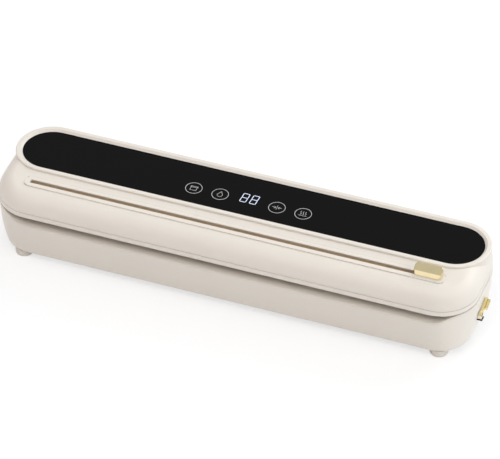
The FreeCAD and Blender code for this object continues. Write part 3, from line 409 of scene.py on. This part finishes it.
def dress_nodes():
    """Gives each CAD node the material of its slot, or its own."""
    for entry in frame["record"]["subparts"]:
        piece = frame["nodes"][entry["node"]]
        piece.data.materials.clear()
        look = OWN_MATERIALS.get(entry["node"], entry["material_slot"])
        piece.data.materials.append(materials[look])


# Helpers for pieces

SMOOTH_ANGLE = math.radians(35)


def make_piece(mesh, name, material, body):
    """Turns a finished mesh into a piece that rides on a body."""
    bmesh.ops.recalc_face_normals(mesh, faces=mesh.faces)
    data = bpy.data.meshes.new(name)
    mesh.to_mesh(data)
    mesh.free()
    data.materials.append(material)
    piece = add_object(name, data)
    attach(piece, body)
    return piece


def soften(piece):
    """Smooth shading that keeps the sharp edges."""
    piece.data.shade_smooth()
    piece.data.set_sharp_from_angle(angle=SMOOTH_ANGLE)


def wall(mesh, one, two):
    """Adds the faces between two sections with equally many points."""
    for side in range(len(one)):
        mesh.faces.new((one[side - 1], one[side], two[side], two[side - 1]))


def skin(mesh, sections, closed):
    """Adds the faces between neighbouring sections, and a cap at each end of an open run."""
    for one, two in zip(sections, sections[1:]):
        wall(mesh, one, two)
    if closed:
        wall(mesh, sections[-1], sections[0])
    else:
        mesh.faces.new(sections[0])
        mesh.faces.new(sections[-1][::-1])


# Touch marks and digits, printed on the glass, in millimetres from its middle

MARK_RISE = 0.05
MITRE_LEAST = 0.5
RING_X = (-43.5, -22.4, 22.9, 43.7)
RING_Y = -5.3
RING_RADIUS = 6.3
RING_LINE = 0.34
RING_STEPS = 64
SIGN_LINE = 0.26
SIGN_SCALE = 0.8
WAVE_SWING = 0.55
WAVE_FOOT = -1.6
WAVE_RISE = 4.8
WAVE_STEPS = 12
DIGIT_X = (-3.6, 4.15)
DIGIT_Y = -2.8
DIGIT_WIDTH = 4.7
DIGIT_HEIGHT = 9.8
DIGIT_LINE = 0.56
DIGIT_GAP = 0.12
DIGIT_SLANT = 0.045


def on_glass(point, rise):
    return panel + Vector((point.x, point.y, rise)) * MM


def plate(mesh, outline):
    """Adds a flat printed patch with a given outline."""
    sections = [[mesh.verts.new(on_glass(point, rise)) for point in outline] for rise in (0, MARK_RISE)]
    skin(mesh, sections, False)


def band(mesh, path, width, closed=False):
    """Adds a flat printed line of a given width along a path."""
    count = len(path)
    sections = []
    for index, point in enumerate(path):
        before = path[index - 1] if closed or index > 0 else point * 2 - path[1]
        after = path[(index + 1) % count] if closed or index < count - 1 else point * 2 - path[index - 1]
        first = (point - before).normalized()
        second = (after - point).normalized()
        aside = Vector((-first.y - second.y, first.x + second.x)).normalized()
        aside *= width / 2 / max(aside.dot(Vector((-first.y, first.x))), MITRE_LEAST)
        low = [on_glass(spot, 0) for spot in (point + aside, point - aside)]
        high = [on_glass(spot, MARK_RISE) for spot in (point - aside, point + aside)]
        sections.append([mesh.verts.new(spot) for spot in low + high])
    skin(mesh, sections, closed)


def arc(centre, radius, start, end, steps):
    """Points along an arc, by its angles in degrees."""
    angles = [math.radians(start + (end - start) * step / steps) for step in range(steps + 1)]
    return [Vector(centre) + Vector((math.cos(angle), math.sin(angle))) * radius for angle in angles]


def line(*points):
    return [Vector(point) for point in points]


# Each sign is a list of paths round the middle of its ring, with whether the path is closed

def bag_sign():
    """A bag with two seams across its top."""
    sides = line((-3.0, 3.4), (-3.0, -3.2), (3.0, -3.2), (3.0, 3.4))
    seams = [line((-3.9, height), (3.9, height)) for height in (1.2, 2.5)]
    return [(path, False) for path in [sides] + seams]


def drop_sign():
    """A drop, for moist food."""
    round_part = arc((0, -1.0), 2.5, 150, 390, 24)
    return [(round_part + line((0, 4.0)), True)]


def pulse_sign():
    """Two arrows that press on a bar."""
    paths = [line((0, -3.2), (0, 3.2))]
    for side in (-1, 1):
        paths.append(line((side * 4.6, 0), (side * 1.2, 0)))
        paths.append(line((side * 2.7, 1.6), (side * 1.1, 0), (side * 2.7, -1.6)))
    return [(path, False) for path in paths]


def heat_wave(x):
    """One wave of heat, from its foot up."""
    points = []
    for step in range(WAVE_STEPS + 1):
        share = step / WAVE_STEPS
        points.append(Vector((x + WAVE_SWING * math.sin(2 * math.pi * share), WAVE_FOOT + WAVE_RISE * share)))
    return points


def seal_sign():
    """Three waves of heat over a bar."""
    bar = line((-4.2, -2.9), (4.2, -2.9))
    return [(path, False) for path in [bar] + [heat_wave(x) for x in (-2.4, 0, 2.4)]]


def finish_marks(mesh, name, material):
    make_piece(mesh, name, material, "lid")


def touch_ring(x, sign, name):
    """Ring of a touch key, with its sign."""
    mesh = bmesh.new()
    centre = Vector((x, RING_Y))
    band(mesh, arc(centre, RING_RADIUS, 0, 360, RING_STEPS)[:-1], RING_LINE, closed=True)
    for path, closed in sign():
        band(mesh, [centre + point * SIGN_SCALE for point in path], SIGN_LINE, closed)
    finish_marks(mesh, name, materials["print"])


def segment(start, end):
    """One bar of a digit, pointed at both ends."""
    along = (end - start).normalized()
    aside = Vector((-along.y, along.x)) * DIGIT_LINE / 2
    first = start + along * DIGIT_GAP
    last = end - along * DIGIT_GAP
    shoulder = along * DIGIT_LINE / 2
    near = [first + shoulder - aside, last - shoulder - aside]
    far = [last - shoulder + aside, first + shoulder + aside]
    return [first] + near + [last] + far


def display_digits():
    """Two seven-bar digits with every bar lit."""
    mesh = bmesh.new()
    half_width = DIGIT_WIDTH / 2
    half_height = DIGIT_HEIGHT / 2
    heights = (-half_height, 0, half_height)
    corners = [Vector((side * half_width, height)) for height in heights for side in (-1, 1)]
    bars = [(0, 1), (2, 3), (4, 5), (0, 2), (1, 3), (2, 4), (3, 5)]
    for x in DIGIT_X:
        for start, end in bars:
            bar = segment(corners[start], corners[end])
            plate(mesh, [Vector((x + point.x + point.y * DIGIT_SLANT, DIGIT_Y + point.y)) for point in bar])
    finish_marks(mesh, "display_digits", materials["digits"])


def print_glass():
    for x, sign in zip(RING_X, (bag_sign, drop_sign, pulse_sign, seal_sign)):
        touch_ring(x, sign, "touch_" + sign.__name__)
    display_digits()


# Soft seals with round free edges, which stand for the plain solids of the part

SEAL_WIDTH = 4.5 * MM
SEAL_CORNER = 13.5 * MM
SEAL_ROUND = 0.9 * MM
STRIP_ROUND = 0.7 * MM
CORNER_STEPS = 16
ROUND_STEPS = 6


def soft_section(width, seat, edge, rounding):
    """Section of a seal, as depths from its outer side and heights: square at its seat, round at its edge."""
    way = math.copysign(rounding, edge - seat)
    points = [(0, seat)]
    for middle, start in ((rounding, 180), (width - rounding, 90)):
        for step in range(ROUND_STEPS + 1):
            angle = math.radians(start - 90 * step / ROUND_STEPS)
            points.append((middle + rounding * math.cos(angle), edge - way * (1 - math.sin(angle))))
    return points + [(width, seat)]


def sweep(spots, section, closed):
    """Mesh of a section carried along places in the plan, each with its outward direction."""
    mesh = bmesh.new()
    sections = []
    for spot, outward in spots:
        points = [spot - outward * depth + Vector((0, 0, rise)) for depth, rise in section]
        sections.append([mesh.verts.new(point) for point in points])
    skin(mesh, sections, closed)
    return mesh


def chamber_seal(node_name, body, seat_below):
    """Foam ring round the vacuum chamber."""
    low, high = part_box(node_name)
    left, right = low.x + SEAL_CORNER, high.x - SEAL_CORNER
    front, back = low.y + SEAL_CORNER, high.y - SEAL_CORNER
    spots = []
    for turn, (x, y) in enumerate(((right, back), (left, back), (left, front), (right, front))):
        for step in range(CORNER_STEPS + 1):
            angle = math.radians(90 * (turn + step / CORNER_STEPS))
            outward = Vector((math.cos(angle), math.sin(angle), 0))
            spots.append((Vector((x, y, 0)) + outward * SEAL_CORNER, outward))
    seat, edge = (low.z, high.z) if seat_below else (high.z, low.z)
    mesh = sweep(spots, soft_section(SEAL_WIDTH, seat, edge, SEAL_ROUND), True)
    seal = make_piece(mesh, node_name + "_foam", materials["seal_foam"], body)
    soften(seal)
    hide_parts(node_name)


def press_pad():
    """Silicone strip in the lid, over the heater."""
    low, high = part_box("press_strip")
    spots = [(Vector((x, high.y, 0)), Vector((0, 1, 0))) for x in (low.x, high.x)]
    mesh = sweep(spots, soft_section(high.y - low.y, high.z, low.z, STRIP_ROUND), False)
    pad = make_piece(mesh, "press_strip_silicone", materials["press_rubber"], "lid")
    soften(pad)
    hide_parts("press_strip")


# Screws with a cross recess in the head, which stand for the plain ones of the part

SCREW_HEAD = 2.8 * MM
SCREW_SHANK = 1.4 * MM
SCREW_HEAD_HEIGHT = 1.4 * MM
SCREW_EDGE = 0.3 * MM
CROSS_REACH = 1.5 * MM
CROSS_HALF = 0.36 * MM
CROSS_DEPTH = 0.8 * MM
CROSS_TAPER = 0.6
SCREW_STEPS = 32
WELD = 0.001 * MM


def separate_bodies(node_name):
    """Lowest and highest corner of each body in a node that holds several."""
    mesh = bmesh.new()
    mesh.from_mesh(frame["nodes"][node_name].data)
    bmesh.ops.remove_doubles(mesh, verts=mesh.verts, dist=WELD)
    waiting = set(mesh.verts)
    boxes = []
    while waiting:
        found = {waiting.pop()}
        edge_of_search = list(found)
        while edge_of_search:
            vert = edge_of_search.pop()
            near = {edge.other_vert(vert) for edge in vert.link_edges} & waiting
            waiting -= near
            found |= near
            edge_of_search.extend(near)
        axes = [[vert.co[axis] for vert in found] for axis in range(3)]
        boxes.append((Vector([min(values) for values in axes]), Vector([max(values) for values in axes])))
    mesh.free()
    return sorted(boxes, key=lambda corners: (round(corners[0].x, 5), round(corners[0].y, 5)))


def turned(x, y, quarter):
    """A point of the plan, turned by quarter turns."""
    for _ in range(quarter):
        x, y = -y, x
    return x, y


def add_screw(mesh, low, high):
    """Screw that points up, with its head's face at the bottom."""
    centre = Vector(((low.x + high.x) / 2, (low.y + high.y) / 2, low.z))

    def circle(radius, rise):
        angles = [2 * math.pi * (step + 0.5) / SCREW_STEPS for step in range(SCREW_STEPS)]
        spots = [Vector((math.cos(angle) * radius, math.sin(angle) * radius, rise)) for angle in angles]
        return [mesh.verts.new(centre + spot) for spot in spots]

    def cross(share, rise):
        reach = CROSS_REACH * share
        corners = []
        for quarter in range(4):
            for x, y in ((reach, CROSS_HALF), (CROSS_HALF, CROSS_HALF), (CROSS_HALF, reach)):
                x, y = turned(x, y, quarter)
                corners.append(mesh.verts.new(centre + Vector((x, y, rise))))
        return corners

    rings = [
        circle(SCREW_HEAD - SCREW_EDGE, 0),
        circle(SCREW_HEAD, SCREW_EDGE),
        circle(SCREW_HEAD, SCREW_HEAD_HEIGHT),
        circle(SCREW_SHANK, SCREW_HEAD_HEIGHT),
        circle(SCREW_SHANK, high.z - low.z),
    ]
    for one, two in zip(rings, rings[1:]):
        wall(mesh, one, two)
    mesh.faces.new(rings[-1])
    mouth = cross(1.0, 0)
    floor = cross(CROSS_TAPER, CROSS_DEPTH)
    wall(mesh, mouth, floor)
    mesh.faces.new(floor)
    share = SCREW_STEPS // 4
    for quarter in range(4):
        face = rings[0][quarter * share:(quarter + 1) * share]
        corner = mouth[3 * quarter:3 * quarter + 3]
        mesh.faces.new(corner + face[::-1])
        mesh.faces.new((mouth[3 * quarter - 1], mouth[3 * quarter], face[0], rings[0][quarter * share - 1]))


def cross_screws(node_name, body):
    mesh = bmesh.new()
    for low, high in separate_bodies(node_name):
        add_screw(mesh, low, high)
    screws = make_piece(mesh, node_name + "_cross", materials["steel"], body)
    soften(screws)
    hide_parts(node_name)


make_camera()
make_studio()
dress_nodes()
print_glass()
chamber_seal("lower_seal", "base", True)
chamber_seal("upper_seal", "lid", False)
press_pad()
cross_screws("bottom_screws", "base")
cross_screws("lid_screws", "lid")
